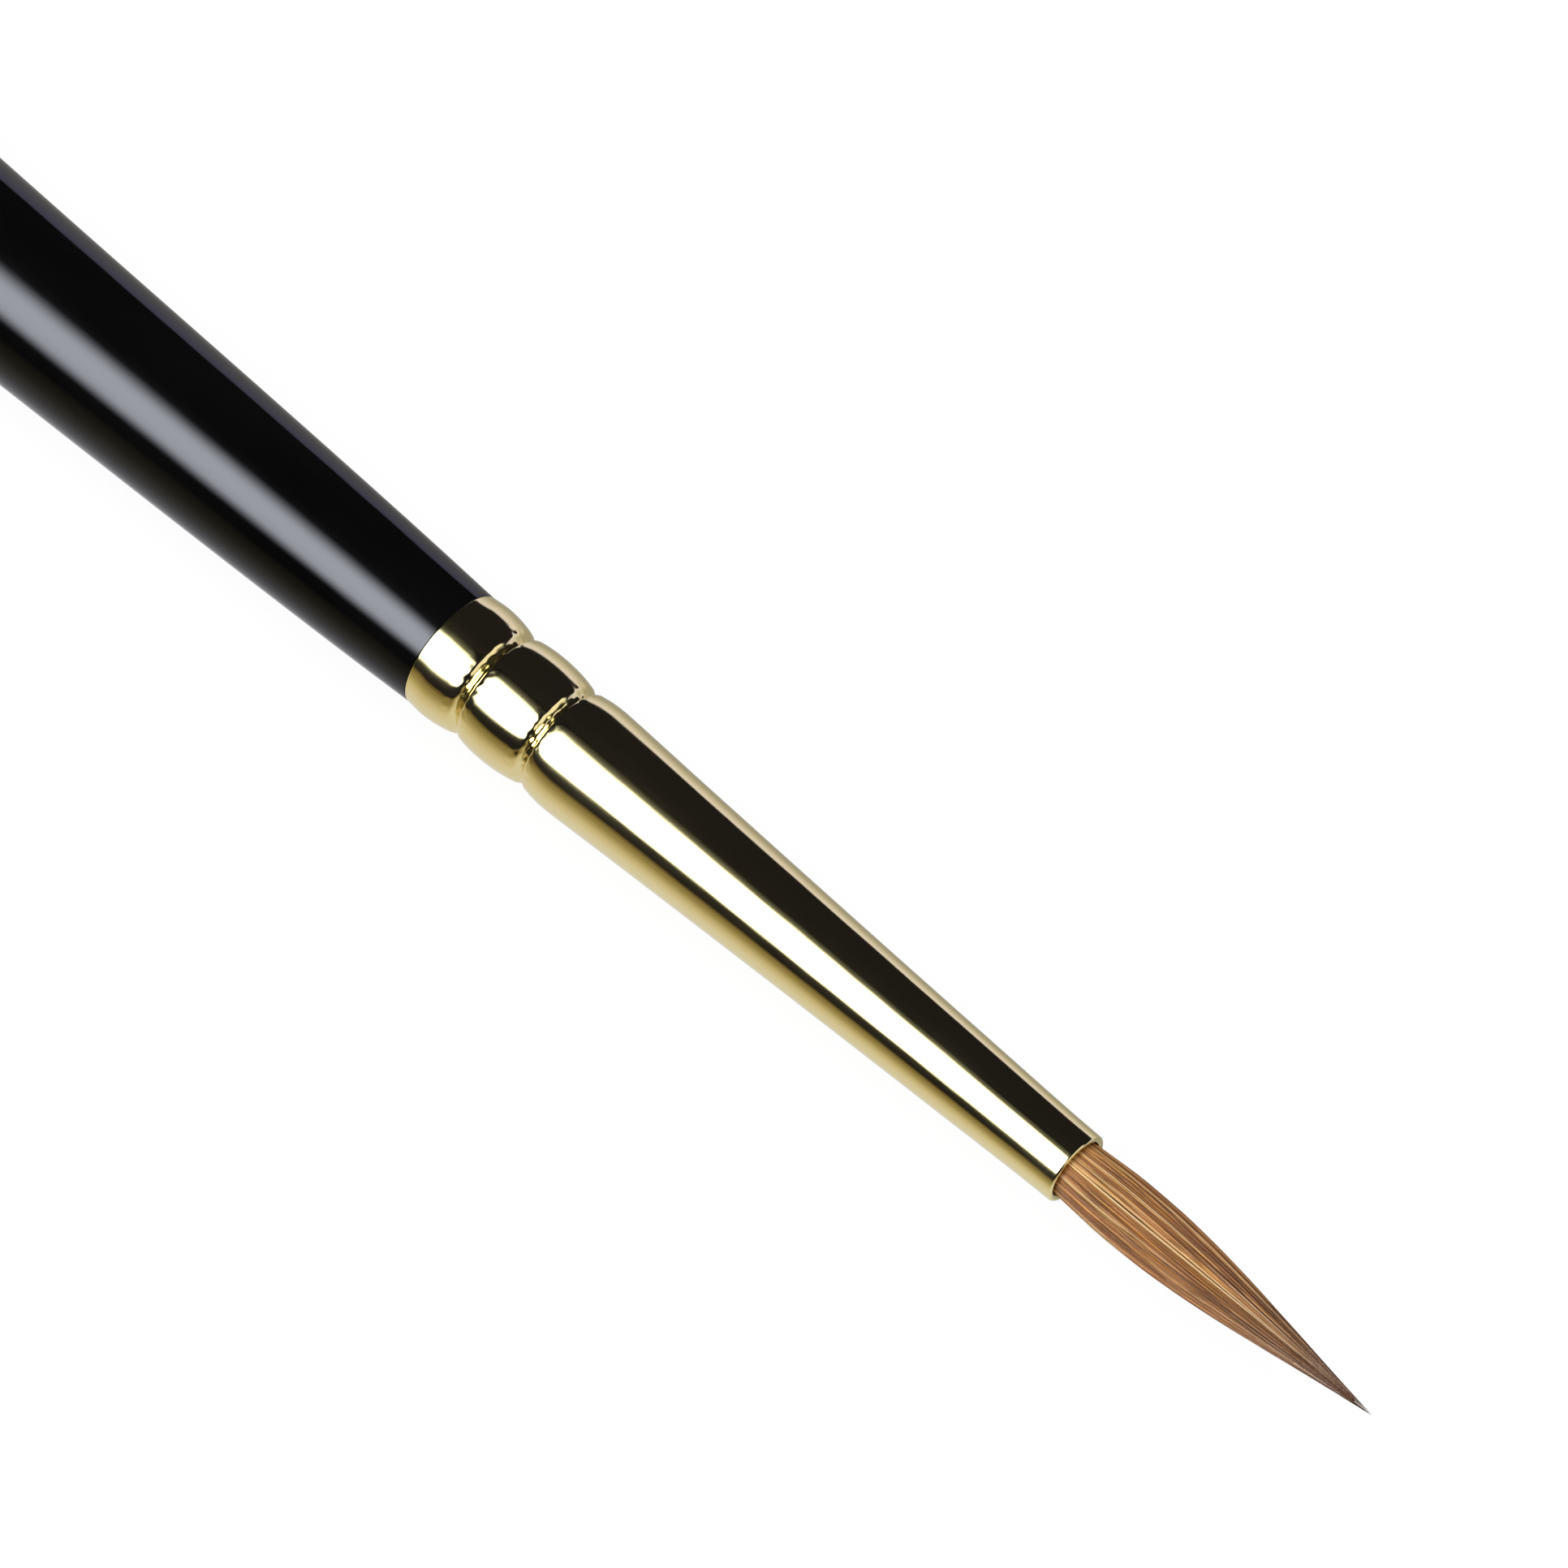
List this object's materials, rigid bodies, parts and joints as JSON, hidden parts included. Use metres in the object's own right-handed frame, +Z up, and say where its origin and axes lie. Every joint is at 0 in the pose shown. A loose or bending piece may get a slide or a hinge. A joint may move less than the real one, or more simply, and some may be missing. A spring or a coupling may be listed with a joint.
{
  "type": "fine detail brush",
  "caption": "Small round sable brush for fine detail painting: pointed hair tuft in a tapered double-crimped gilt ferrule on a slim bellied black lacquered wooden handle.",
  "frame": {"origin": "centre of the brush's bounding box, on the table that the handle's belly rests on", "axes": "+X along the brush towards the hair tip, +Z up, +Y to the left when looking towards the tip"},
  "size_m": [0.1776, 0.0058, 0.0058],
  "materials": {
    "wood": "turned and sanded bare wood",
    "lacquer": "deep gloss black dipped lacquer",
    "gilt_brass": "polished pale gold plating on brass",
    "tenon_glue": "cured glue film",
    "root_glue": "clear amber cast resin",
    "thread": "waxed twisted thread",
    "hair": "smooth golden-brown sable hair with darker tips"
  },
  "bodies": {
    "stick": {"handle_core": "wood", "handle_lacquer": "lacquer", "ferrule": "gilt_brass", "tenon_adhesive": "tenon_glue", "root_adhesive": "root_glue", "binding_thread": "thread", "tuft_root": "hair"},
    "tuft": {"tuft": "hair"}
  },
  "joints": [
    {"name": "tuft_bend", "type": "hinge", "parent": "stick", "child": "tuft", "pos_m": [0.07958, 0, 0.00338], "axis": [0, 1, 0], "range_deg": [-60, 60], "stiffness_Nm_per_rad": 0.00006}
  ]
}
